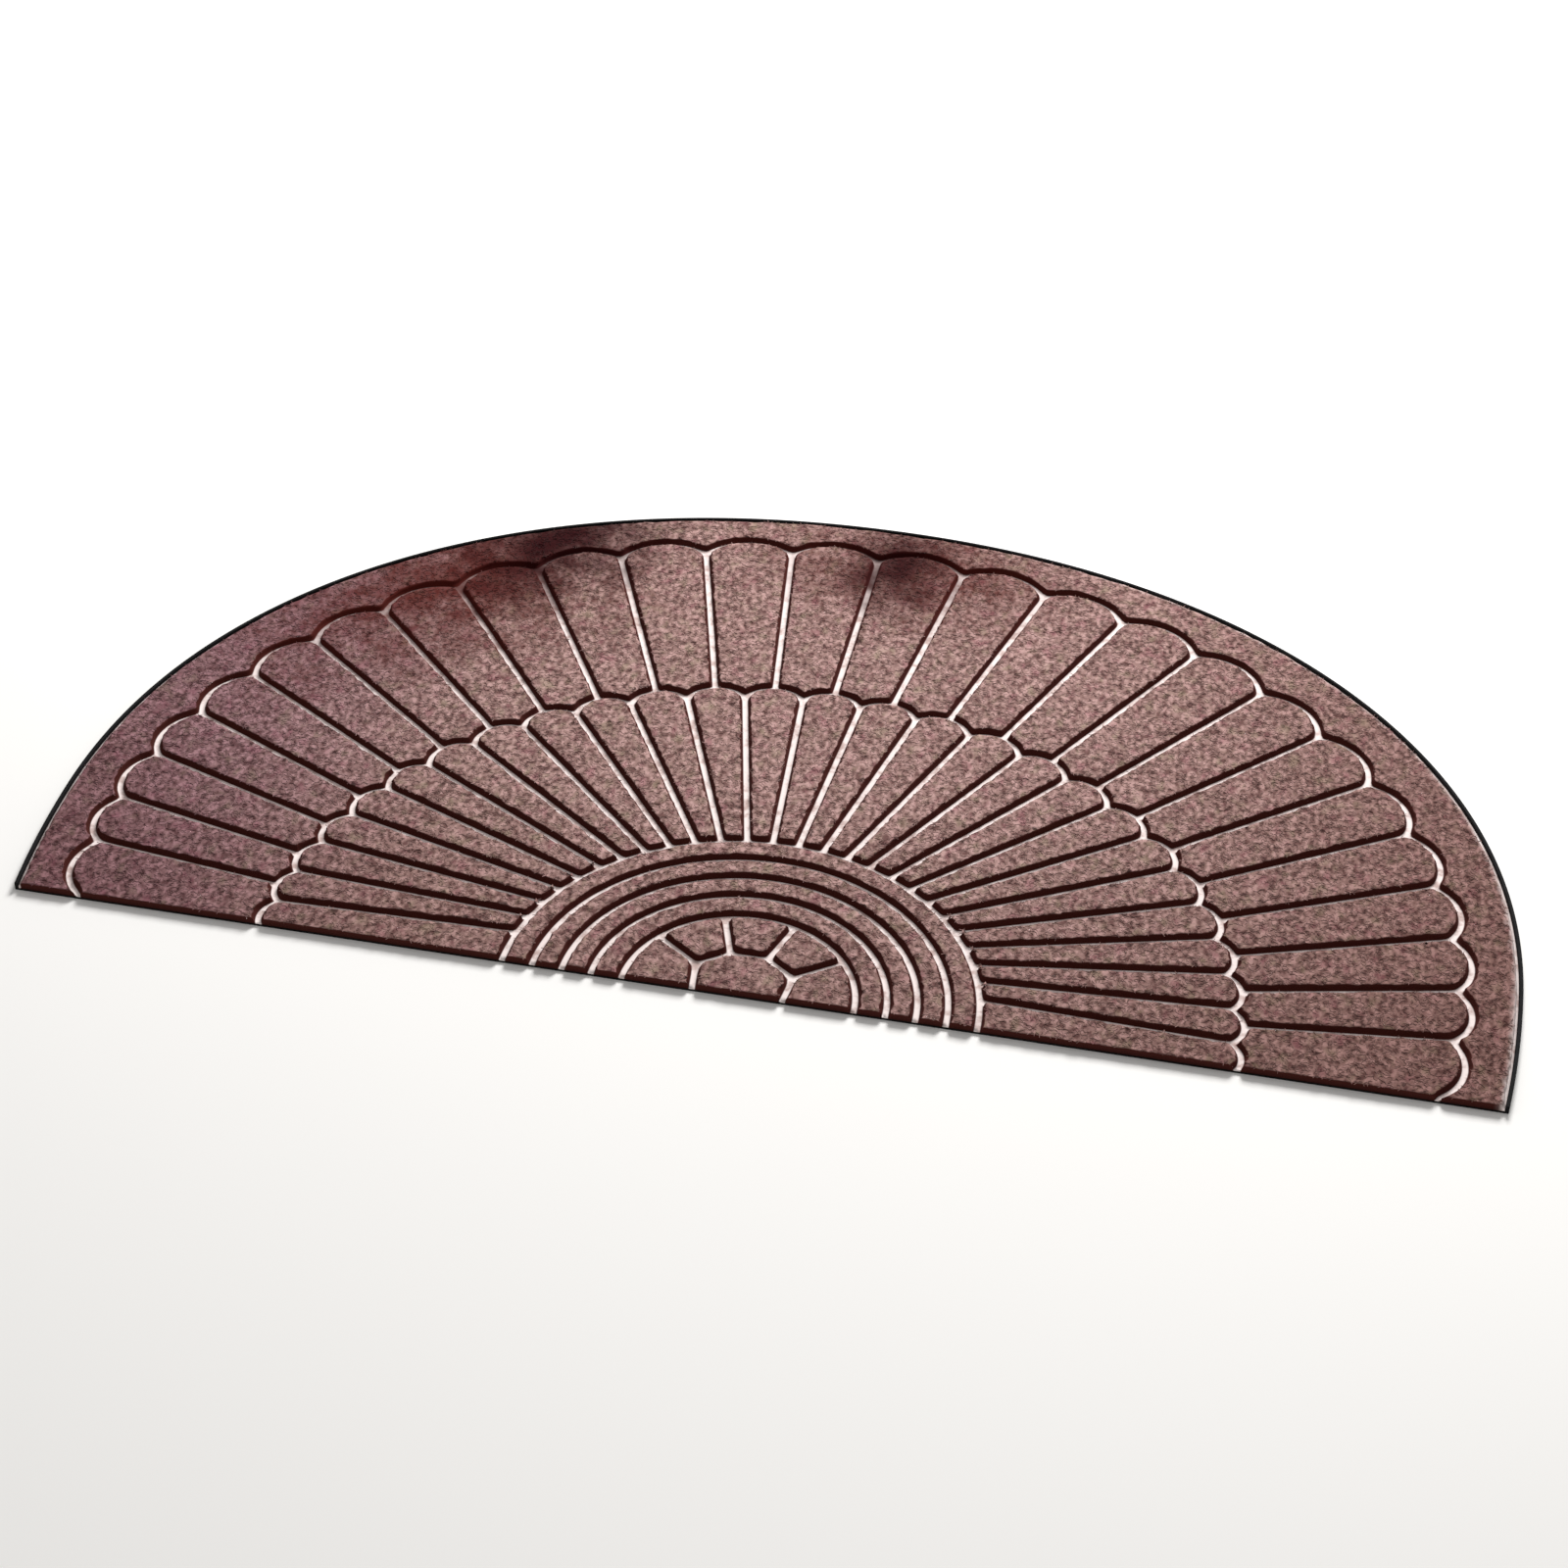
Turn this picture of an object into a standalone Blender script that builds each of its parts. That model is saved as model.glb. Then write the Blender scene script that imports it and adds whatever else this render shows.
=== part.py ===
"""Half round doormat, lying flat: a punched felt pile with a fan of pressed grooves, in a rubber backing.

Units are metres and +Z is up. The origin is on the floor under the middle of the mat, the straight edge
faces -Y. The fan spreads from the middle of the straight edge. A turn is an angle at that point, from the
mat's middle line, positive towards +X, and a place counts the fan's lines from the middle line.
"""

import math

import bmesh
import bpy
from mathutils import Vector, geometry

# Outline of the rubber
HALF_WIDTH = 0.450
DEPTH = 0.500
WIDEST_AT = 0.092
RIM_POWER = 2.1
TAPER_LENGTH = 0.555

# Layers
RUBBER_THICK = 0.0012
EDGE_WIDTH = 0.0022
EDGE_HEIGHT = 0.0055
PILE_THICK = 0.0042
GAP = 0.0003
GROOVE_WIDTH = 0.0065
GROOVE_DEPTH = 0.0035

# Core: a polygon cut by the straight edge, with a spoke from each corner to the first ring
CORE_HALF_WIDTH = 0.0269
CORE_RADIUS = 0.0361
CORE_TURNS = tuple(math.radians(turn) for turn in (54, 18, -18, -54))

RING_RADII = (0.0692, 0.0877, 0.1054, 0.1233, 0.1416)

# Petals: the fan closes up a little towards the straight edge. A valley line has its radius on the middle
# line and its drop at the straight edge, and a rise is a share of the chord between two valleys.
FOOT_STEP = math.radians(6.384)
FAN_STEP = math.radians(7.44)
FAN_CLOSING = math.radians(0.0037)
INNER_LINES = 26
OUTER_LINES = 25
INNER_VALLEY = (0.293, 0.007)
OUTER_VALLEY = (0.461, 0.058)
VALLEY_POWER = 2.6
INNER_RISE = 0.27
OUTER_RISE = 0.235

# Fineness of the facets, and how far lines run past the straight edge before they are cut off there
RIM_STEPS = 44
SIDE_STEPS = 3
RING_STEPS = 24
ARCH_STEPS = 6
FOOT_STEPS = 2
PAST_EDGE = 0.010
SAME_POINT = 1e-6


def polar(turn, radius):
    """Point at a turn and a distance from the fan's centre."""
    return Vector((radius * math.sin(turn), radius * math.cos(turn)))


def ring(radius, start, end, steps):
    """Points along a ring from one turn to another, both included."""
    return [polar(start + (end - start) * i / steps, radius) for i in range(steps + 1)]


def spread(place):
    """Turn of a line of the petals."""
    return FAN_STEP * place - FAN_CLOSING * place**3


def valley(turn, radius, drop):
    """Low point between two arches, on a curve that drops in towards the straight edge."""
    return polar(turn, radius - drop * abs(turn / math.radians(90)) ** VALLEY_POWER)


def arch(start, end, rise):
    """Circular arc from start to end, bulging to its right by a share of its chord, without its start."""
    chord = end - start
    outward = Vector((chord.y, -chord.x))
    half_angle = 2 * math.atan(2 * rise)
    points = []
    for i in range(1, ARCH_STEPS + 1):
        angle = half_angle * (2 * i / ARCH_STEPS - 1)
        along = 0.5 + math.sin(angle) / (2 * math.sin(half_angle))
        out = (math.cos(angle) - math.cos(half_angle)) / (2 * math.sin(half_angle))
        points.append(start + chord * along + outward * out)
    return points


def scallop(valleys, rise):
    """One line of arches through the valleys."""
    points = [valleys[0]]
    for start, end in zip(valleys, valleys[1:]):
        points += arch(start, end, rise)
    return points


def rim(inset):
    """Outline from the right end of the straight edge over the arc to its left end, drawn in by inset."""
    width = HALF_WIDTH - inset
    height = DEPTH - WIDEST_AT - inset
    side = []
    for i in range(SIDE_STEPS):
        y = WIDEST_AT * i / SIDE_STEPS
        taper = ((WIDEST_AT - y) / TAPER_LENGTH) ** RIM_POWER
        side.append(Vector((width * (1 - taper) ** (1 / RIM_POWER), y)))
    arc = []
    for i in range(RIM_STEPS + 1):
        angle = math.pi * i / RIM_STEPS
        across = math.copysign(abs(math.cos(angle)) ** (2 / RIM_POWER), math.cos(angle))
        up = abs(math.sin(angle)) ** (2 / RIM_POWER)
        arc.append(Vector((width * across, WIDEST_AT + height * up)))
    return side + arc + [Vector((-point.x, point.y)) for point in reversed(side)]


def shifted(points, distance, closed=True):
    """The line moved to its left by distance, with mitred corners."""
    moved = []
    count = len(points)
    for i, point in enumerate(points):
        before = points[i - 1] if closed or i > 0 else None
        after = points[(i + 1) % count] if closed or i < count - 1 else None
        normals = []
        for start, end in ((before, point), (point, after)):
            if start is not None and end is not None:
                direction = (end - start).normalized()
                normals.append(Vector((-direction.y, direction.x)))
        middle = (normals[0] + normals[-1]).normalized()
        moved.append(point + middle * distance / middle.dot(normals[0]))
    return moved


def cut_at_edge(loop):
    """The part of a closed loop that lies behind the straight edge."""
    kept = []
    for start, end in zip(loop[-1:] + loop[:-1], loop):
        if (start.y > 0) != (end.y > 0):
            share = start.y / (start.y - end.y)
            kept.append(Vector((start.x + (end.x - start.x) * share, 0)))
        if end.y > 0:
            kept.append(end)
    return kept


def past_edge(point):
    """The point moved square to the straight edge until it lies in front of it."""
    return Vector((point.x, -PAST_EDGE))


def mirrored(loop):
    """The loop's mirror image in the middle line, in the same sense."""
    return [Vector((-point.x, point.y)) for point in reversed(loop)]


def core_loops():
    """Centre lines of the grooves round the core and between its spokes."""
    corners = [polar(turn, CORE_RADIUS) for turn in CORE_TURNS]
    right = Vector((CORE_HALF_WIDTH, -PAST_EDGE))
    left = Vector((-CORE_HALF_WIDTH, -PAST_EDGE))
    loops = [[left, right] + corners]
    first = RING_RADII[0]
    steps = RING_STEPS // (len(CORE_TURNS) + 1)
    for i in range(len(CORE_TURNS) - 1):
        outer = ring(first, CORE_TURNS[i], CORE_TURNS[i + 1], steps)
        loops.append([corners[i]] + outer + [corners[i + 1]])
    outer = ring(first, math.radians(90), CORE_TURNS[0], steps)
    end_cell = [right, past_edge(outer[0])] + outer + [corners[0]]
    return loops + [end_cell, mirrored(end_cell)]


def ring_loops():
    """Centre lines round the bands between neighbouring rings."""
    quarter = math.radians(90)
    loops = []
    for inner_radius, outer_radius in zip(RING_RADII, RING_RADII[1:]):
        outer = ring(outer_radius, quarter, -quarter, RING_STEPS)
        inner = ring(inner_radius, -quarter, quarter, RING_STEPS)
        loops.append([past_edge(outer[0])] + outer + [past_edge(outer[-1]), past_edge(inner[0])]
                     + inner + [past_edge(inner[-1])])
    return loops


def fan_places(lines):
    """Places of the fan's lines from right to left, symmetric about the middle line."""
    return [(lines - 1) / 2 - i for i in range(lines)]


def inner_valleys():
    """Valleys of the inner scallop from right to left, with one past the straight edge at each end."""
    return [valley(spread(place), *INNER_VALLEY) for place in fan_places(INNER_LINES + 2)]


def outer_valleys():
    """Valleys of the outer scallop from right to left, with one on the straight edge at each end."""
    turns = [spread(place) for place in fan_places(OUTER_LINES)]
    return [valley(turn, *OUTER_VALLEY) for turn in [math.radians(90)] + turns + [-math.radians(90)]]


def inner_petal_loops():
    """Centre lines round the petals between the last ring and the inner scallop."""
    last = RING_RADII[-1]
    turns = [FOOT_STEP * place for place in fan_places(INNER_LINES)]
    below = math.radians(90) + math.asin(PAST_EDGE / last)
    turns = [below] + turns + [-below]
    valleys = inner_valleys()
    loops = []
    for i in range(len(turns) - 1):
        foot = ring(last, turns[i + 1], turns[i], FOOT_STEPS)
        loops.append(foot + [valleys[i]] + arch(valleys[i], valleys[i + 1], INNER_RISE))
    return loops


def outer_petal_loops():
    """Centre lines round the petals between the two scallops; their sides start from the inner peaks."""
    valleys = outer_valleys()
    line = scallop(inner_valleys(), INNER_RISE)
    peaks = range(ARCH_STEPS // 2, len(line), ARCH_STEPS)
    loops = []
    for i in range(1, len(valleys) - 2):
        inner = line[peaks[i]:peaks[i + 1] + 1]
        loops.append(inner[::-1] + [valleys[i]] + arch(valleys[i], valleys[i + 1], OUTER_RISE))
    inner = line[:peaks[1] + 1]
    end_cell = inner[::-1] + [past_edge(inner[0]), past_edge(valleys[0]), valleys[0]]
    end_cell += arch(valleys[0], valleys[1], OUTER_RISE)
    return loops + [end_cell, mirrored(end_cell)]


def raised_cells():
    """Outlines of the raised cells, half a groove inside their centre lines, and of the plain border."""
    half = GROOVE_WIDTH / 2
    loops = core_loops() + ring_loops() + inner_petal_loops() + outer_petal_loops()
    cells = [cut_at_edge(shifted(loop, half)) for loop in loops]
    line = scallop(outer_valleys(), OUTER_RISE)
    line = [past_edge(line[0])] + line + [past_edge(line[-1])]
    border = rim(EDGE_WIDTH + GAP) + shifted(line, -half, closed=False)[::-1]
    return cells + [cut_at_edge(border)]


def flat_triangles(loops):
    """Triangles of the area inside the loops, as points, with the loops that each lies in."""
    points = [point for loop in loops for point in loop]
    faces = []
    for loop in loops:
        start = sum(len(face) for face in faces)
        faces.append(list(range(start, start + len(loop))))
    found = geometry.delaunay_2d_cdt(points, [], faces, 1, SAME_POINT)
    corners, triangles, owners = found[0], found[2], found[5]
    return [([corners[i] for i in triangle], owner) for triangle, owner in zip(triangles, owners)]


def spot(point):
    """Whole numbers that are the same for points that coincide."""
    return (round(point.x / SAME_POINT), round(point.y / SAME_POINT))


def relief_mesh(name, outline, cells, heights):
    """Closed mesh with a flat bottom at heights[0], a floor at heights[1] and the cells' tops at heights[2]."""
    mesh = bmesh.new()
    made = {}

    def corner(point, level):
        key = spot(point) + (level,)
        if key not in made:
            made[key] = mesh.verts.new((point.x, point.y, heights[level]))
        return made[key]

    for points, _ in flat_triangles([outline]):
        mesh.faces.new([corner(point, 0) for point in reversed(points)])
    sides = {}
    for points, owner in flat_triangles([outline] + cells):
        level = 2 if max(owner) > 0 else 1
        mesh.faces.new([corner(point, level) for point in points])
        for start, end in zip(points, points[1:] + points[:1]):
            sides[spot(start), spot(end)] = (level, start, end)
    for (here, there), (level, start, end) in sides.items():
        neighbour = sides[there, here][0] if (there, here) in sides else 0
        for low in range(neighbour, level):
            quad = [corner(start, low), corner(end, low), corner(end, low + 1), corner(start, low + 1)]
            mesh.faces.new(quad)
    bmesh.ops.recalc_face_normals(mesh, faces=mesh.faces)
    data = bpy.data.meshes.new(name)
    mesh.to_mesh(data)
    mesh.free()
    return data


def finish(name, colour, roughness):
    """Principled material of one colour."""
    material = bpy.data.materials.new(name)
    material.use_nodes = True
    shader = material.node_tree.nodes["Principled BSDF"]
    shader.inputs["Base Color"].default_value = (*colour, 1)
    shader.inputs["Roughness"].default_value = roughness
    shader.inputs["Metallic"].default_value = 0
    return material


def add(mesh, location, material):
    """Object with its mesh's name, in the scene."""
    mesh.materials.append(material)
    added = bpy.data.objects.new(mesh.name, mesh)
    added.location = location
    bpy.context.scene.collection.objects.link(added)
    return added


def outline_with(cells, inset):
    """Outline drawn in by inset, with the points where the cells meet the straight edge."""
    on_edge = [point for cell in cells for point in cell if point.y == 0]
    return sorted(on_edge, key=lambda point: point.x) + rim(inset)[1:-1]


def rubber_backing():
    """Rubber sheet with an edge raised round the pile along the arc; the straight edge is cut flush."""
    edge = rim(0) + rim(EDGE_WIDTH)[::-1]
    mesh = relief_mesh("rubber_backing", outline_with([edge], 0), [edge], (0, RUBBER_THICK, EDGE_HEIGHT))
    return add(mesh, (0, -DEPTH / 2, 0), finish("black rubber", (0.012, 0.011, 0.012), 0.6))


def pile_face():
    """Felt pile with its grooves, which run out open at the straight edge."""
    cells = raised_cells()
    outline = outline_with(cells, EDGE_WIDTH + GAP)
    mesh = relief_mesh("pile_face", outline, cells, (0, PILE_THICK - GROOVE_DEPTH, PILE_THICK))
    location = (0, -DEPTH / 2, RUBBER_THICK + GAP)
    return add(mesh, location, finish("mauve brown felt", (0.247, 0.143, 0.130), 0.95))


for leftover in list(bpy.data.objects):
    bpy.data.objects.remove(leftover)
rubber_backing()
pile_face()
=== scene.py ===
import math
import random

import bmesh
import bpy
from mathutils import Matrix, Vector, kdtree, noise


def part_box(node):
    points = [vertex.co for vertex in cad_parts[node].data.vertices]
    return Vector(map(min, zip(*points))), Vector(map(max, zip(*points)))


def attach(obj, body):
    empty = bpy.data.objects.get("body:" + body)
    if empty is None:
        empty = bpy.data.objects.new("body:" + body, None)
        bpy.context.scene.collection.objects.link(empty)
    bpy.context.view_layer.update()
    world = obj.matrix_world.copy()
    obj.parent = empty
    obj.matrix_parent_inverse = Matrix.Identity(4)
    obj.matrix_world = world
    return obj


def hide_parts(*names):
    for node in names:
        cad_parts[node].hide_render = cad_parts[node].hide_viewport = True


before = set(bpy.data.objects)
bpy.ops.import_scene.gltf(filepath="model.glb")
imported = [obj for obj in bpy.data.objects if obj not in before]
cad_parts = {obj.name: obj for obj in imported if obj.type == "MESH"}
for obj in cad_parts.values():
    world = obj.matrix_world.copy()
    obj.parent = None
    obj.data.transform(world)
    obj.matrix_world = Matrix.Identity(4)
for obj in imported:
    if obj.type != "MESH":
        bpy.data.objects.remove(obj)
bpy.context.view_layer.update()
print("frame loaded")

random.seed(11)
millimetre = 0.001
sameSpot = 1e-6  # in metres, as close as two points may come

# where the mat lies, read from the frame
rubberLow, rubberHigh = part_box("rubber_backing")
pileLow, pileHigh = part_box("pile_face")
frontY = rubberLow[1]

# the fan, as it is cut in the solids: turns are angles at the middle of the straight edge
fan = {
    "coreHalfWidth": 0.0269,
    "coreRadius": 0.0361,
    "coreTurns": (54, 18, -18, -54),
    "rings": (0.0692, 0.0877, 0.1054, 0.1233, 0.1416),
    "footStep": 6.384,
    "step": 7.44,
    "closing": 0.0037,  # how much closer the lines stand towards the straight edge
    "innerLines": 26,
    "outerLines": 25,
    "innerValley": (0.293, 0.007),  # radius on the middle line, and its drop at the straight edge
    "outerValley": (0.461, 0.058),
    "valleyPower": 2.6,
    "innerRise": 0.27,  # of the scallops, as a share of their width
    "outerRise": 0.235,
    "pastEdge": 0.010,  # lines run on past the straight edge and are cut off there
}

outline = {
    "widestAt": 0.092,
    "power": 2.1,
    "taper": 0.555,
    "rimSteps": 180,
    "sideSteps": 20,
}


def fanPoint(turn, radius):
    angle = math.radians(turn)
    return Vector((radius * math.sin(angle), frontY + radius * math.cos(angle), 0))


def spread(place):
    return fan["step"] * place - fan["closing"] * place**3


def valleyPoint(turn, line):
    radius, drop = line
    return fanPoint(turn, radius - drop * abs(turn / 90) ** fan["valleyPower"])


def archPoints(start, end, rise, steps):
    # circular arc that bulges away from the fan's centre, without its first point
    chord = end - start
    outward = Vector((chord.y, -chord.x, 0))
    half = 2 * math.atan(2 * rise)
    points = []
    for i in range(1, steps + 1):
        angle = half * (2 * i / steps - 1)
        along = 0.5 + math.sin(angle) / (2 * math.sin(half))
        out = (math.cos(angle) - math.cos(half)) / (2 * math.sin(half))
        points.append(start + chord * along + outward * out)
    return points


def scallopPoints(valleys, rise, steps):
    points = [valleys[0]]
    for start, end in zip(valleys, valleys[1:]):
        points += archPoints(start, end, rise, steps)
    return points


def straight(start, end, spacing, fine=()):
    # a line's points, evenly spaced, with some more close to both ends
    length = (end - start).length
    reach = fine[-1] if fine else 0
    near = [0, *fine[:-1]] if fine else []
    steps = max(1, round((length - 2 * reach) / spacing))
    even = [reach + (length - 2 * reach) * i / steps for i in range(steps + 1)]
    along = near + even + [length - part for part in reversed(near)]
    return [start.lerp(end, place / length) for place in along]


def places(lines):
    return [(lines - 1) / 2 - i for i in range(lines)]


def rimPoints(halfWidth, depth):
    # from the right end of the straight edge, over the arc, to its left end
    middle, power = outline["widestAt"], outline["power"]
    side = []
    for i in range(outline["sideSteps"]):
        y = middle * i / outline["sideSteps"]
        taper = ((middle - y) / outline["taper"]) ** power
        side.append(Vector((halfWidth * (1 - taper) ** (1 / power), frontY + y, 0)))
    arc = []
    for i in range(outline["rimSteps"] + 1):
        angle = math.pi * i / outline["rimSteps"]
        across = math.copysign(abs(math.cos(angle)) ** (2 / power), math.cos(angle))
        up = abs(math.sin(angle)) ** (2 / power)
        arc.append(Vector((halfWidth * across, frontY + middle + (depth - middle) * up, 0)))
    return side + arc + [Vector((-point.x, point.y, 0)) for point in reversed(side)]


def pastEdge(point):
    return Vector((point.x, frontY - fan["pastEdge"], 0))


def cutFront(mesh):
    # cuts off what runs past the straight edge
    geom = list(mesh.verts) + list(mesh.edges) + list(mesh.faces)
    bmesh.ops.bisect_plane(mesh, geom=geom, dist=sameSpot, plane_co=(0, frontY, 0), plane_no=(0, -1, 0),
                           clear_outer=True)


def openEdges(mesh):
    return sum(not edge.is_manifold for edge in mesh.edges)


def addObject(name, data):
    thing = bpy.data.objects.new(name, data)
    bpy.context.scene.collection.objects.link(thing)
    return thing


def meshData(mesh, name):
    data = bpy.data.meshes.new(name)
    mesh.to_mesh(data)
    mesh.free()
    return data


def finishPiece(mesh, name, material, body, replaced):
    piece = addObject(name, meshData(mesh, name))
    piece.data.materials.append(material)
    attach(piece, body)
    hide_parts(replaced)
    print(name, len(piece.data.polygons), "faces")
    return piece


# materials
def linear(hexColour):
    channels = [int(hexColour[i:i + 2], 16) / 255 for i in (1, 3, 5)]
    return tuple(c / 12.92 if c <= 0.04045 else ((c + 0.055) / 1.055) ** 2.4 for c in channels) + (1,)


def addNode(tree, kind, values=None):
    # a value is a setting of the node, or goes into an input: a number, a hex colour or another node's output
    node = tree.nodes.new(kind)
    for key, value in (values or {}).items():
        if isinstance(key, str) and key not in node.inputs:
            setattr(node, key, value)
        elif isinstance(value, bpy.types.NodeSocket):
            tree.links.new(value, node.inputs[key])
        elif isinstance(value, str) and value.startswith("#"):
            node.inputs[key].default_value = linear(value)
        else:
            node.inputs[key].default_value = value
    return node


def newMaterial(name):
    material = bpy.data.materials.new(name)
    material.use_nodes = True
    tree = material.node_tree
    shader = tree.nodes["Principled BSDF"]
    coords = addNode(tree, "ShaderNodeTexCoord").outputs["Object"]
    return material, tree, shader, coords


def paintOver(tree, under, over, mask, limits, most=1):
    # lays one colour over another: none where the mask is at its first limit, the most at its second
    share = addNode(tree, "ShaderNodeMapRange", {
        "interpolation_type": "SMOOTHSTEP", "Value": mask, "From Min": limits[0], "From Max": limits[1],
        "To Min": 0, "To Max": most}).outputs["Result"]
    return addNode(tree, "ShaderNodeMix", {"data_type": "RGBA", 0: share, 6: under, 7: over}).outputs[2]


feltLook = {
    "mid": "#957670",
    "light": "#b6938e",
    "dark": "#6c4e4a",
    "red": "#9b676d",
    "grey": "#978772",
    # painted shade: multiplied in towards the rim, where the light falls off
    "far": "#cdc0bd",
    "plum": "#f4ecff",
    "pressed": "#f7e8e4",
    "worn": "#c4aba5",
    # painted shade: the dark colour of the grooves' walls, the edges of their floors and the cut face, where
    # the felt lies in shade
    "paintedWallShade": "#431c17",
    "smudge": "#521b15",
    "soaked": "#2c0508",
    # each noise has its size, detail and roughness
    "fleck": (3.4 * millimetre, 2, 0.45),  # some dozens of fibres wide, since single ones wouldn't show
    "hue": (8 * millimetre, 2, 0.5),
    "fibre": (1.4 * millimetre, 2, 0.7),  # real fibres are far thinner: these are as coarse as needed to show
    "uneven": (9 * millimetre, 3, 0.6),
    "ragged": (22 * millimetre, 3, 0.5),
    "lay": 0.66,  # the flecks are drawn out along Y by one over this
    # each colour starts to show at its mask's first limit and is full at the second
    "midLimits": (0.32, 0.50),
    "lightLimits": (0.50, 0.66),
    "redLimits": (0.55, 0.75),
    "greyLimits": (0.45, 0.25),
    "hueMost": 0.5,
    "farCentre": (-0.03, 0.04),
    "farReach": (0.50, 0.46),
    "farLimits": (0.30, 1.15),
    "plumLimits": (-0.20, -0.40),
    "wornLimits": (0.45, 0.70),
    "topLimits": (0.74, 0.97),
    "wallLimits": (0.16, 0.25),
    # the painted highlight along the rim shows on the right, the side towards the lamp
    "rimHighlightLimits": (0.02, 0.22),
    "rimHighlightMost": 0.85,
    "stainLimits": (1.5, 0.4),
    "stains": (  # middle, reach along and across, turn in degrees, colour, strength
        ((-0.283, 0.107), (0.215, 0.130), 37, "smudge", 0.88),
        ((-0.256, 0.148), (0.085, 0.060), 40, "smudge", 0.70),
        ((-0.214, 0.184), (0.110, 0.088), 60, "soaked", 1.0),
        ((0.026, 0.202), (0.145, 0.100), 0, "smudge", 0.80),
        ((0.013, 0.207), (0.085, 0.052), 90, "soaked", 0.93),
    ),
    "roughness": 0.92,
    "specular": 0.08,
    "bump": 0.5,
    "bumpHeight": 0.8 * millimetre,
    "bumpLimits": (0.3, 0.9),
    "strandShift": (-0.06, 0.08),
    "strandRoughness": 0.75,
    "strandSpecular": 0.12,
}


def paintedFalloffAndPlum(tree, coords, colour, look):
    # the felt is painted darker towards the rim, a painted shade standing in for the lamp's light falling
    # off, and the dye turns to plum at the left end
    spot = addNode(tree, "ShaderNodeMapping", {
        "vector_type": "TEXTURE", "Location": (*look["farCentre"], 0), "Scale": (*look["farReach"], 1),
        "Vector": coords}).outputs[0]
    away = addNode(tree, "ShaderNodeVectorMath", {"operation": "LENGTH", 0: spot}).outputs["Value"]
    across = addNode(tree, "ShaderNodeSeparateXYZ", {0: coords}).outputs["X"]
    for mask, tint in ((away, "far"), (across, "plum")):
        tinted = addNode(tree, "ShaderNodeMix", {
            "data_type": "RGBA", "blend_type": "MULTIPLY", 0: 1, 6: colour, 7: look[tint]}).outputs[2]
        colour = paintOver(tree, colour, tinted, mask, look[tint + "Limits"])
    return colour


def soil(tree, coords, colour, look):
    # dark smudges where the mat is soiled
    size, detail, roughness = look["ragged"]
    ragged = addNode(tree, "ShaderNodeTexNoise", {
        "Scale": 1 / size, "Detail": detail, "Roughness": roughness, "Vector": coords}).outputs["Fac"]
    for middle, reach, turn, dirt, strength in look["stains"]:
        spot = addNode(tree, "ShaderNodeMapping", {
            "vector_type": "TEXTURE", "Location": (*middle, 0), "Rotation": (0, 0, math.radians(turn)),
            "Scale": (*reach, 1), "Vector": coords}).outputs[0]
        away = addNode(tree, "ShaderNodeVectorMath", {"operation": "LENGTH", 0: spot}).outputs["Value"]
        torn = addNode(tree, "ShaderNodeMath", {"operation": "ADD", 0: away, 1: ragged}).outputs[0]
        colour = paintOver(tree, colour, look[dirt], torn, look["stainLimits"], strength)
    return colour


def fleckColour(tree, coords, look, shift=None):
    # the dyes of the mixed fibres
    laid = addNode(tree, "ShaderNodeMapping", {"Scale": (1, look["lay"], 1), "Vector": coords}).outputs[0]
    fleck, hue = [addNode(tree, "ShaderNodeTexNoise", {
        "Scale": 1 / size, "Detail": detail, "Roughness": roughness, "Vector": laid}).outputs["Fac"]
        for size, detail, roughness in (look["fleck"], look["hue"])]
    if shift:
        fleck = addNode(tree, "ShaderNodeMath", {"operation": "ADD", 0: fleck, 1: shift}).outputs[0]
    colour = look["dark"]
    for mask, dye, most in ((fleck, "mid", 1), (fleck, "light", 1), (hue, "red", look["hueMost"]),
                            (hue, "grey", look["hueMost"])):
        colour = paintOver(tree, colour, look[dye], mask, look[dye + "Limits"], most)
    return colour


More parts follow.
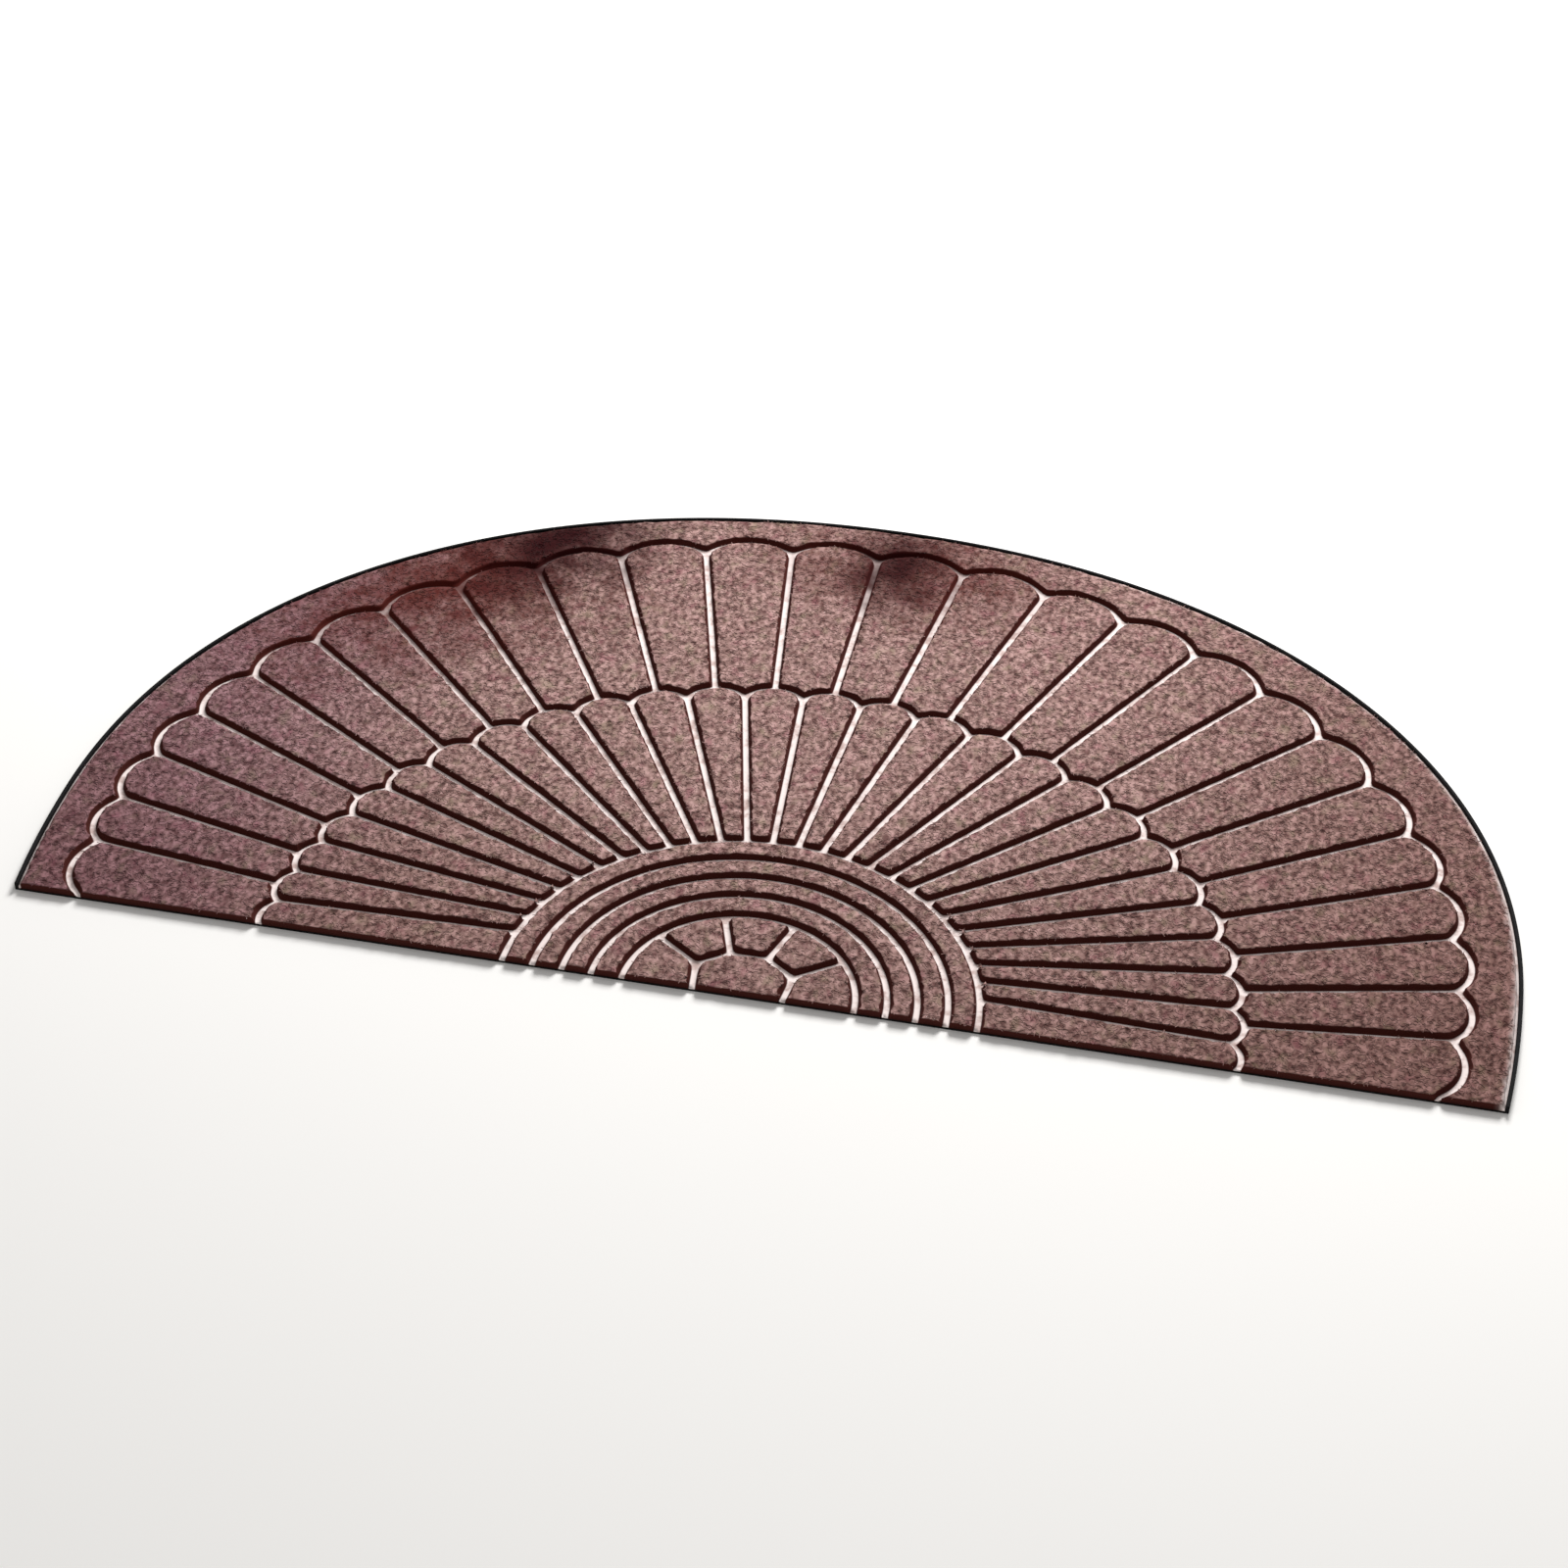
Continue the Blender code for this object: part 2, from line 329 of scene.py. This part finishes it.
def feltMaterial(look):
    # needle-punched polypropylene: a matt tangle of coarse dyed fibres, melted pale and smooth where
    # it was pressed
    material, tree, shader, coords = newMaterial("needle-punched polypropylene felt")
    fibre, uneven = [addNode(tree, "ShaderNodeTexNoise", {
        "Scale": 1 / size, "Detail": detail, "Roughness": roughness, "Vector": coords}).outputs["Fac"]
        for size, detail, roughness in (look["fibre"], look["uneven"])]
    level = addNode(tree, "ShaderNodeAttribute", {"attribute_name": "level"}).outputs["Fac"]
    colour = paintedFalloffAndPlum(tree, coords, fleckColour(tree, coords, look), look)
    pressed = paintOver(tree, look["pressed"], look["worn"], uneven, look["wornLimits"])
    # the walls are painted dark as shade, fading into the felt's colour up the shoulders
    colour = paintOver(tree, look["paintedWallShade"], colour, level, look["topLimits"])
    colour = paintOver(tree, pressed, colour, level, look["wallLimits"])

    # along the rim the felt is pressed lower too; on the right, where the rim faces the lamp, it is painted
    # pale as a highlight in the pressed colour
    rim = addNode(tree, "ShaderNodeAttribute", {"attribute_name": "rim"}).outputs["Fac"]
    across = addNode(tree, "ShaderNodeSeparateXYZ", {0: coords}).outputs["X"]
    right = addNode(tree, "ShaderNodeMapRange", {
        "interpolation_type": "SMOOTHSTEP", "Value": across, "From Min": look["rimHighlightLimits"][0],
        "From Max": look["rimHighlightLimits"][1], "To Min": 0, "To Max": look["rimHighlightMost"]}).outputs["Result"]
    rimHighlight = addNode(tree, "ShaderNodeMath", {"operation": "MULTIPLY", 0: rim, 1: right}).outputs[0]
    colour = addNode(tree, "ShaderNodeMix", {
        "data_type": "RGBA", 0: rimHighlight, 6: colour, 7: pressed}).outputs[2]
    tree.links.new(soil(tree, coords, colour, look), shader.inputs["Base Color"])

    shader.inputs["Roughness"].default_value = look["roughness"]
    shader.inputs["Specular IOR Level"].default_value = look["specular"]
    unpressed = addNode(tree, "ShaderNodeMapRange", {
        "interpolation_type": "SMOOTHSTEP", "Value": level, "From Min": look["bumpLimits"][0],
        "From Max": look["bumpLimits"][1], "To Min": 0, "To Max": 1}).outputs["Result"]
    tangle = addNode(tree, "ShaderNodeMath", {"operation": "MULTIPLY", 0: fibre, 1: unpressed}).outputs[0]
    bump = addNode(tree, "ShaderNodeBump", {
        "Strength": look["bump"], "Distance": look["bumpHeight"], "Height": tangle})
    tree.links.new(bump.outputs["Normal"], shader.inputs["Normal"])
    return material


rubberLook = {
    "colour": "#0c0b0c",
    "worn": "#161416",
    "grain": (1.2 * millimetre, 3, 0.5),  # size, detail and roughness
    "patches": (14 * millimetre, 3, 0.5),
    "wornLimits": (0.4, 0.7),
    "roughness": (0.75, 0.95),
    "specular": 0.15,
    "bump": 0.3,
    "bumpHeight": 0.2 * millimetre,
}


def rubberMaterial(look):
    # nitrile rubber: dull black with a fine grain, a little greyer where it is rubbed
    material, tree, shader, coords = newMaterial("nitrile rubber")
    grain, patches = [addNode(tree, "ShaderNodeTexNoise", {
        "Scale": 1 / size, "Detail": detail, "Roughness": roughness, "Vector": coords}).outputs["Fac"]
        for size, detail, roughness in (look["grain"], look["patches"])]
    colour = paintOver(tree, look["colour"], look["worn"], patches, look["wornLimits"])
    tree.links.new(colour, shader.inputs["Base Color"])
    rough = addNode(tree, "ShaderNodeMapRange", {
        "Value": grain, "To Min": look["roughness"][0], "To Max": look["roughness"][1]}).outputs["Result"]
    tree.links.new(rough, shader.inputs["Roughness"])
    shader.inputs["Specular IOR Level"].default_value = look["specular"]
    bump = addNode(tree, "ShaderNodeBump", {
        "Strength": look["bump"], "Distance": look["bumpHeight"], "Height": grain})
    tree.links.new(bump.outputs["Normal"], shader.inputs["Normal"])
    return material


# the pile: one sheet, split along the middles of the grooves, then raised cell by cell. The attribute level
# is 0 in the grooves' middles and 1 on the top, and rim is 1 at the outer edge
pileMake = {
    "archSteps": 16,
    "ringSpacing": 4 * millimetre,
    "lineSpacing": 3.4 * millimetre,
    "nearEnds": (2.2 * millimetre, 4.4 * millimetre, 7 * millimetre),
    "grid": 2.8 * millimetre,
    "floorHalf": 2.1 * millimetre,
    "floorLevel": 0.25,
    "floorHeight": 0.6 * millimetre,
    "rimFloor": 1.2 * millimetre,
    "rimWide": 3.8 * millimetre,
    "steps": (  # millimetres in and up, and the level painted there
        (0.45, 2.0, 0.45),
        (0.75, 1.3, 0.70),
        (0.90, 0.5, 1.00),
    ),
    "rimSteps": (  # millimetres over the floor and the level, on the same lines along the outer rim
        (1.2, 0.12),
        (2.6, 0.66),
        (3.4, 0.95),
        (3.7, 1.0),
    ),
    "rimHighlightReach": (0.8 * millimetre, 4 * millimetre),  # a painted highlight along the rim: full as far in as this, gone as far in as that
    "rimFineness": 10,
    "sharpTurn": 0.45,  # in radians
    "cornerReach": 6 * millimetre,
    "cornerRounds": 3,
    "ragged": 1.1 * millimetre,
    "raggedApart": 0.3,  # metres between the noise that moves along X and the one along Y
    "topLevel": 0.99,
    "tuftHeight": 0.30 * millimetre,
    "tuftSize": 4.5 * millimetre,
    "tuftFine": (2.7, 0.6),  # a finer noise, this many times finer and this strong
    "jitter": 0.28,
    "cutTop": 0.4 * millimetre,
    "cutAbove": 0.3,  # the cut face takes the walls' painted shade where its level is above this
    "cutLevel": 0.45,
}


def key(point):
    # a hundredth of a millimetre tells two points apart
    return (round(point.x * 1e5), round(point.y * 1e5))


def nearestOf(points):
    tree = kdtree.KDTree(len(points))
    for i, point in enumerate(points):
        tree.insert(point, i)
    tree.balance()
    return tree


def splitAlong(mesh, spots, points):
    # a groove's middle line cuts the face that holds both its ends
    start, end = spots[key(points[0])], spots[key(points[-1])]
    shared = [face for face in start.link_faces if face in set(end.link_faces)]
    coords = [point.copy() for point in points[1:-1]]
    face, loop = bmesh.utils.face_split(shared[0], start, end, coords=coords)
    for vert in list(loop.face.verts) + list(face.verts):
        spots.setdefault(key(vert.co), vert)


def ringTurns(radius, extra, spacing):
    # turns of a half ring's points, with the given ones among them
    marks = sorted({90, *extra, -90}, reverse=True)
    turns = [marks[0]]
    for start, end in zip(marks, marks[1:]):
        steps = max(1, round(math.radians(start - end) * radius / spacing))
        turns += [start + (end - start) * i / steps for i in range(1, steps + 1)]
    return turns


def drawFan(mesh, make):
    feet = [fan["footStep"] * place for place in places(fan["innerLines"])]
    innerValleys = [valleyPoint(spread(p), fan["innerValley"]) for p in places(fan["innerLines"] + 2)]
    outerTurns = [90] + [spread(p) for p in places(fan["outerLines"])] + [-90]
    outerValleys = [valleyPoint(turn, fan["outerValley"]) for turn in outerTurns]
    inner = scallopPoints(innerValleys, fan["innerRise"], make["archSteps"])
    outer = scallopPoints(outerValleys, fan["outerRise"], make["archSteps"])
    corners = [fanPoint(turn, fan["coreRadius"]) for turn in fan["coreTurns"]]
    coreEnd = fanPoint(90, fan["coreHalfWidth"])
    coreLine = [coreEnd] + corners + [Vector((-coreEnd.x, coreEnd.y, 0))]
    core = [coreLine[0]]
    for start, end in zip(coreLine, coreLine[1:]):
        core += straight(start, end, make["ringSpacing"])[1:]

    # from the outside in, each half ring with points where lines start from it
    starts = {fan["rings"][-1]: feet, fan["rings"][0]: fan["coreTurns"]}
    lines = [outer, inner]
    for radius in reversed(fan["rings"]):
        turns = ringTurns(radius, starts.get(radius, ()), make["ringSpacing"])
        lines.append([fanPoint(turn, radius) for turn in turns])
    lines.append(core)
    lines = [[pastEdge(line[0])] + line + [pastEdge(line[-1])] for line in lines]

    spare = make["floorHalf"] - make["rimFloor"]
    rim = rimPoints(pileHigh[0] + spare, pileHigh[1] - frontY + spare)
    rim = [pastEdge(rim[0])] + rim + [pastEdge(rim[-1])]
    bottom = sorted([line[0] for line in lines] + [line[-1] for line in lines], key=lambda point: point.x)
    verts = [mesh.verts.new(point) for point in rim + bottom]
    mesh.faces.new(verts)
    spots = {key(vert.co): vert for vert in verts}
    for line in lines:
        splitAlong(mesh, spots, line)
    peaks = inner[make["archSteps"] // 2::make["archSteps"]]
    rays = [(fanPoint(turn, fan["rings"][-1]), valley) for turn, valley in zip(feet, innerValleys[1:-1])]
    rays += zip(peaks[1:-1], outerValleys[1:-1])
    rays += [(fanPoint(turn, fan["coreRadius"]), fanPoint(turn, fan["rings"][0]))
             for turn in fan["coreTurns"]]
    for start, end in rays:
        splitAlong(mesh, spots, straight(start, end, make["lineSpacing"], make["nearEnds"]))
    mesh.normal_update()
    return list(mesh.faces), rim[1:-1]


def cutGrid(mesh, faces, spacing):
    # slices the cells' tops into small squares, first along X, then along Y
    done = []
    for axis in (0, 1):
        live = done if axis else list(faces)
        done = []
        place = min(vert.co[axis] for face in live for vert in face.verts) + spacing / 2
        top = max(vert.co[axis] for face in live for vert in face.verts)
        normal = Vector((axis == 0, axis == 1, 0))
        while place < top:
            # a dictionary keeps its order from run to run, where a set of mesh parts wouldn't
            geom = dict.fromkeys(live)
            for face in live:
                geom.update(dict.fromkeys(face.edges))
                geom.update(dict.fromkeys(face.verts))
            cut = bmesh.ops.bisect_plane(mesh, geom=list(geom), dist=sameSpot, plane_co=normal * place,
                                         plane_no=normal)
            live = []
            for face in (part for part in cut["geom"] if isinstance(part, bmesh.types.BMFace)):
                beyond = sum(vert.co[axis] for vert in face.verts) / len(face.verts) > place
                (live if beyond else done).append(face)
            place += spacing
        done += live
    return done


def roundCorners(cell, make):
    # eases the cell's outline where it turns sharply
    verts = list(cell.verts)
    count = len(verts)
    corners = []
    for i, vert in enumerate(verts):
        before, after = vert.co - verts[i - 1].co, verts[(i + 1) % count].co - vert.co
        if before.angle(after) > make["sharpTurn"] and vert.co.y > frontY:
            corners.append(vert.co.copy())
    soft = [i for i, vert in enumerate(verts)
            if any((vert.co - spot).length < make["cornerReach"] for spot in corners)]
    for _ in range(make["cornerRounds"]):
        eased = {i: (verts[i - 1].co + verts[(i + 1) % count].co) / 4 + verts[i].co / 2 for i in soft}
        for i, place in eased.items():
            verts[i].co = place


def buildPile(make):
    mesh = bmesh.new()
    cells, wideRim = drawFan(mesh, make)
    level = mesh.verts.layers.float.new("level")
    rimLevel = mesh.verts.layers.float.new("rim")
    base = pileLow[2]
    for vert in mesh.verts:
        vert.co.z = base + make["floorHeight"]

    # each cell is drawn in from the grooves' middles and raised, with a steep wall and a rounded shoulder
    rings = []
    for inward, upward, painted in ((make["floorHalf"] / millimetre, 0, make["floorLevel"]),) + make["steps"]:
        bmesh.ops.inset_individual(mesh, faces=cells, thickness=inward * millimetre,
                                   depth=upward * millimetre, use_even_offset=True)
        rings.append([vert for face in cells for vert in face.verts])
        for vert in rings[-1]:
            vert[level] = painted
        if len(rings) == 1:
            for cell in cells:
                roundCorners(cell, make)

    # along the outer rim the pile is pressed lower
    spots = {key(vert.co): vert for vert in mesh.verts if vert[level] == 0}
    outer = rimPoints(pileHigh[0], pileHigh[1] - frontY)
    for wide, point in zip(wideRim, outer):
        vert = spots[key(wide)]
        vert.co.xy = point.xy
        vert.co.z += make["rimSteps"][0][0] * millimetre
    near = nearestOf(outer)
    for ring, (height, painted) in zip(rings, make["rimSteps"]):
        for vert in ring:
            if near.find((vert.co.x, vert.co.y, 0))[2] < make["rimWide"]:
                vert.co.z = base + make["floorHeight"] + height * millimetre
                vert[level] = painted

    # the walls waver
    for ring in rings[1:]:
        for vert in ring:
            for axis in (0, 1):
                spot = Vector((vert.co.x, vert.co.y, axis * make["raggedApart"]))
                vert.co[axis] += noise.noise(spot / make["tuftSize"]) * make["ragged"]
    print("cells raised", len(cells))

    tops = cutGrid(mesh, cells, make["grid"])
    print("tops cut", len(tops))
    cutFront(mesh)

    # the rim attribute marks where the rim's painted highlight lies
    full, gone = make["rimHighlightReach"]
    parts = make["rimFineness"]
    close = nearestOf([start.lerp(end, i / parts)
                       for start, end in zip(outer, outer[1:]) for i in range(parts)])
    for vert in mesh.verts:
        inward = close.find((vert.co.x, vert.co.y, 0))[2]
        vert[rimLevel] = min(1, max(0, (gone - inward) / (gone - full)))

    # the top is tufted, and its squares aren't quite square
    topFaces = [face for face in mesh.faces if all(vert[level] > make["topLevel"] for vert in face.verts)]
    topVerts = dict.fromkeys(vert for face in topFaces for vert in face.verts)
    finer, weaker = make["tuftFine"]
    for vert in topVerts:
        inside = not vert.is_boundary and all(edge.other_vert(vert) in topVerts for edge in vert.link_edges)
        tuft = noise.noise(vert.co / make["tuftSize"])
        tuft += weaker * noise.noise(vert.co * finer / make["tuftSize"])
        vert.co.z += make["tuftHeight"] * tuft
        if inside:
            vert.co.x += random.uniform(-1, 1) * make["jitter"] * make["grid"]
            vert.co.y += random.uniform(-1, 1) * make["jitter"] * make["grid"]

    # the cut edge drops to the underside, in two bands so that its face turns to the walls' painted shade at
    # once
    for drop in (make["cutTop"], None):
        edges = [edge for edge in mesh.edges if edge.is_boundary]
        skirt = bmesh.ops.extrude_edge_only(mesh, edges=edges)["geom"]
        for vert in (part for part in skirt if isinstance(part, bmesh.types.BMVert)):
            vert.co.z = max(base, vert.co.z - drop) if drop else base
            if vert[level] > make["cutAbove"]:
                vert[level] = make["cutLevel"]
    bmesh.ops.contextual_create(mesh, geom=[part for part in skirt if isinstance(part, bmesh.types.BMEdge)])
    bmesh.ops.triangulate(mesh, faces=[face for face in mesh.faces if len(face.verts) > 4])
    bmesh.ops.recalc_face_normals(mesh, faces=mesh.faces)
    for face in mesh.faces:
        face.smooth = True
    print("pile", len(mesh.verts), "points", sum(len(face.verts) - 2 for face in mesh.faces), "triangles",
          openEdges(mesh), "open edges")
    return mesh


pile = finishPiece(buildPile(pileMake), "punchedPile", feltMaterial(feltLook), "root", "pile_face")

# loose ends of the felt's fibres, each a short bent strand that lies on the pile
fibreMake = {
    "pieces": 4,
    "each": 13400,
    "bend": 2.4 * millimetre,
    "sweep": 100,  # in degrees, as is the tilt
    "halfThick": 0.2 * millimetre,  # coarser than a real fibre, so that it shows
    "corners": 3,  # along a strand and round it
    "tilt": 8,
    "sizes": (0.55, 1.25),
    "lift": 0.12 * millimetre,
}


def pileTop(make):
    # a lifted copy of the felt's top, to scatter the fibres on
    mesh = bmesh.new()
    mesh.from_mesh(pile.data)
    level = mesh.verts.layers.float["level"]
    lower = [face for face in mesh.faces if any(vert[level] < pileMake["topLevel"] for vert in face.verts)]
    bmesh.ops.delete(mesh, geom=lower, context="FACES")
    bmesh.ops.translate(mesh, verts=mesh.verts, vec=(0, 0, make["lift"]))
    area = sum(face.calc_area() for face in mesh.faces)
    return addObject("pileTop", meshData(mesh, "pileTop")), area


def scatterNodes(make, density, seed):
    tree = bpy.data.node_groups.new("scatteredFibres", "GeometryNodeTree")
    for direction in ("INPUT", "OUTPUT"):
        tree.interface.new_socket(name="Geometry", in_out=direction, socket_type="NodeSocketGeometry")
    source = addNode(tree, "NodeGroupInput").outputs[0]
    points = addNode(tree, "GeometryNodeDistributePointsOnFaces", {
        "Mesh": source, "Density": density, "Seed": seed}).outputs["Points"]

    # one strand, an arc round its own middle
    sweep = math.radians(make["sweep"])
    arc = addNode(tree, "GeometryNodeCurveArc", {
        "Resolution": make["corners"], "Radius": make["bend"], "Start Angle": -sweep / 2,
        "Sweep Angle": sweep}).outputs["Curve"]
    centred = addNode(tree, "GeometryNodeTransform", {
        "Geometry": arc, "Translation": (-make["bend"], 0, 0)}).outputs[0]
    section = addNode(tree, "GeometryNodeCurvePrimitiveCircle", {
        "Resolution": make["corners"], "Radius": make["halfThick"]}).outputs["Curve"]
    strand = addNode(tree, "GeometryNodeCurveToMesh", {
        "Curve": centred, "Profile Curve": section, "Fill Caps": True}).outputs[0]

    # each one turned, sized and toned by chance
    tilt = math.radians(make["tilt"])
    turned = addNode(tree, "FunctionNodeRandomValue", {
        "data_type": "FLOAT_VECTOR", 0: (-tilt, -tilt, 0), 1: (tilt, tilt, 2 * math.pi),
        "Seed": seed + 10}).outputs[0]
    sized, tone = [addNode(tree, "FunctionNodeRandomValue", {
        "data_type": "FLOAT", 2: low, 3: high, "Seed": seed + more}).outputs[1]
        for (low, high), more in ((make["sizes"], 20), ((0, 1), 30))]
    strands = addNode(tree, "GeometryNodeInstanceOnPoints", {
        "Points": points, "Instance": strand, "Rotation": turned, "Scale": sized}).outputs[0]
    toned = addNode(tree, "GeometryNodeStoreNamedAttribute", {
        "domain": "INSTANCE", "Name": "tone", "Geometry": strands, "Value": tone}).outputs[0]
    realized = addNode(tree, "GeometryNodeRealizeInstances", {"Geometry": toned}).outputs[0]
    addNode(tree, "NodeGroupOutput", {0: realized})
    return tree


def fibreMaterial(look):
    # extruded polypropylene fibre: each strand a tone lighter or darker than the felt under it, and a
    # little shinier, so that the felt looks heathered
    material, tree, shader, coords = newMaterial("dyed polypropylene fibre")
    tone = addNode(tree, "ShaderNodeAttribute", {"attribute_name": "tone"}).outputs["Fac"]
    shift = addNode(tree, "ShaderNodeMapRange", {
        "Value": tone, "To Min": look["strandShift"][0], "To Max": look["strandShift"][1]}).outputs["Result"]
    colour = paintedFalloffAndPlum(tree, coords, fleckColour(tree, coords, look, shift), look)
    tree.links.new(soil(tree, coords, colour, look), shader.inputs["Base Color"])
    shader.inputs["Roughness"].default_value = look["strandRoughness"]
    shader.inputs["Specular IOR Level"].default_value = look["strandSpecular"]
    return material


def scatterFibres(make):
    bed, area = pileTop(make)
    material = fibreMaterial(feltLook)
    layers = []
    for number in range(make["pieces"]):
        scatter = bed.modifiers.new("fibres", "NODES")
        scatter.node_group = scatterNodes(make, make["each"] / area, number + 1)
        data = bpy.data.meshes.new_from_object(bed.evaluated_get(bpy.context.evaluated_depsgraph_get()))
        bed.modifiers.remove(scatter)
        data.name = f"feltFibres{number + 1}"
        layer = addObject(data.name, data)
        data.materials.clear()
        data.materials.append(material)
        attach(layer, "root")
        layers.append(layer)
        print(data.name, sum(len(face.vertices) - 2 for face in data.polygons), "triangles")
    bpy.data.objects.remove(bed)
    return layers


fibres = scatterFibres(fibreMake)

# the rubber: a sheet under the pile, with an edge raised round it along the arc
rubberMake = {
    "edgeWidth": 2.2 * millimetre,
    "sheet": 1.2 * millimetre,
    "rounding": 0.6 * millimetre,
    "segments": 3,
    "flatTogether": 1.5,  # two level faces' normals add up to 2 along Z, a level face's and a wall's to 1
}


def buildRubber(make):
    mesh = bmesh.new()
    rim = rimPoints(rubberHigh[0], rubberHigh[1] - frontY)
    rim = [pastEdge(rim[0])] + rim + [pastEdge(rim[-1])]
    sheet = mesh.faces.new([mesh.verts.new(point) for point in rim])
    mesh.normal_update()
    around = bmesh.ops.inset_individual(mesh, faces=[sheet], thickness=make["edgeWidth"],
                                        use_even_offset=True)["faces"]
    raised = [sheet] + around
    for height in (make["sheet"], rubberHigh[2] - make["sheet"]):
        lifted = bmesh.ops.extrude_face_region(mesh, geom=raised)["geom"]
        if len(raised[0].verts) == 4:
            bmesh.ops.delete(mesh, geom=raised, context="FACES")
        bmesh.ops.translate(mesh, vec=(0, 0, height),
                            verts=[part for part in lifted if isinstance(part, bmesh.types.BMVert)])
        raised = [part for part in lifted if isinstance(part, bmesh.types.BMFace) and len(part.verts) == 4]
    cutFront(mesh)

    # the raised edge's two top corners are rounded
    top = rubberHigh[2] - sameSpot
    lips = [edge for edge in mesh.edges if all(vert.co.z > top for vert in edge.verts)
            and len(edge.link_faces) == 2 and all(len(face.verts) == 4 for face in edge.link_faces)
            and sum(abs(face.normal.z) for face in edge.link_faces) < make["flatTogether"]]
    bmesh.ops.bevel(mesh, geom=lips, offset=make["rounding"], segments=make["segments"], affect="EDGES",
                    profile=0.5, material=-1)
    bmesh.ops.holes_fill(mesh, edges=[edge for edge in mesh.edges if edge.is_boundary])
    bmesh.ops.recalc_face_normals(mesh, faces=mesh.faces)
    bmesh.ops.triangulate(mesh, faces=[face for face in mesh.faces if len(face.verts) > 4])
    print("rubber", openEdges(mesh), "open edges")
    return mesh


finishPiece(buildRubber(rubberMake), "rubberTray", rubberMaterial(rubberLook), "root",
            "rubber_backing")

# floor, light and camera
floorLook = {"colour": "#f4f2ef", "roughness": 0.8, "half": 6}


def buildFloor(look):
    mesh = bmesh.new()
    bmesh.ops.create_grid(mesh, x_segments=1, y_segments=1, size=look["half"])
    floor = addObject("floor", meshData(mesh, "floor"))
    material, _, shader, _ = newMaterial("pale matt floor")
    shader.inputs["Base Color"].default_value = linear(look["colour"])
    shader.inputs["Roughness"].default_value = look["roughness"]
    floor.data.materials.append(material)


buildFloor(floorLook)

lamps = {
    "back": {"place": (0.26, 1.62, 1.47), "size": 0.9, "power": 68},
}
skyStrength = 0.42


def addLamps():
    for name, lamp in lamps.items():
        light = bpy.data.lights.new(name, "AREA")
        light.energy = lamp["power"]
        light.size = lamp["size"]
        holder = addObject(name, light)
        holder.location = lamp["place"]
        holder.rotation_euler = (-Vector(lamp["place"])).to_track_quat("-Z", "Y").to_euler()
    world = bpy.data.worlds.new("soft studio")
    bpy.context.scene.world = world
    world.use_nodes = True
    sky = world.node_tree.nodes["Background"]
    sky.inputs["Color"].default_value = (1, 1, 1, 1)
    sky.inputs["Strength"].default_value = skyStrength


addLamps()

# the camera stands in front of the straight edge, a little to the right of the middle
cameraSet = {
    "place": (0.2941, -1.6701, 1.2811),
    "turn": (52.246, -1.088, 11.57),
    "lens": 76.0,
    "sensor": 36,
}


def addCamera():
    data = bpy.data.cameras.new("camera")
    data.lens = cameraSet["lens"]
    data.sensor_width = cameraSet["sensor"]
    camera = addObject("camera", data)
    camera.location = cameraSet["place"]
    camera.rotation_euler = [math.radians(angle) for angle in cameraSet["turn"]]
    bpy.context.scene.camera = camera


addCamera()
bpy.context.scene.view_settings.view_transform = "Standard"
print("floor, light and camera set")
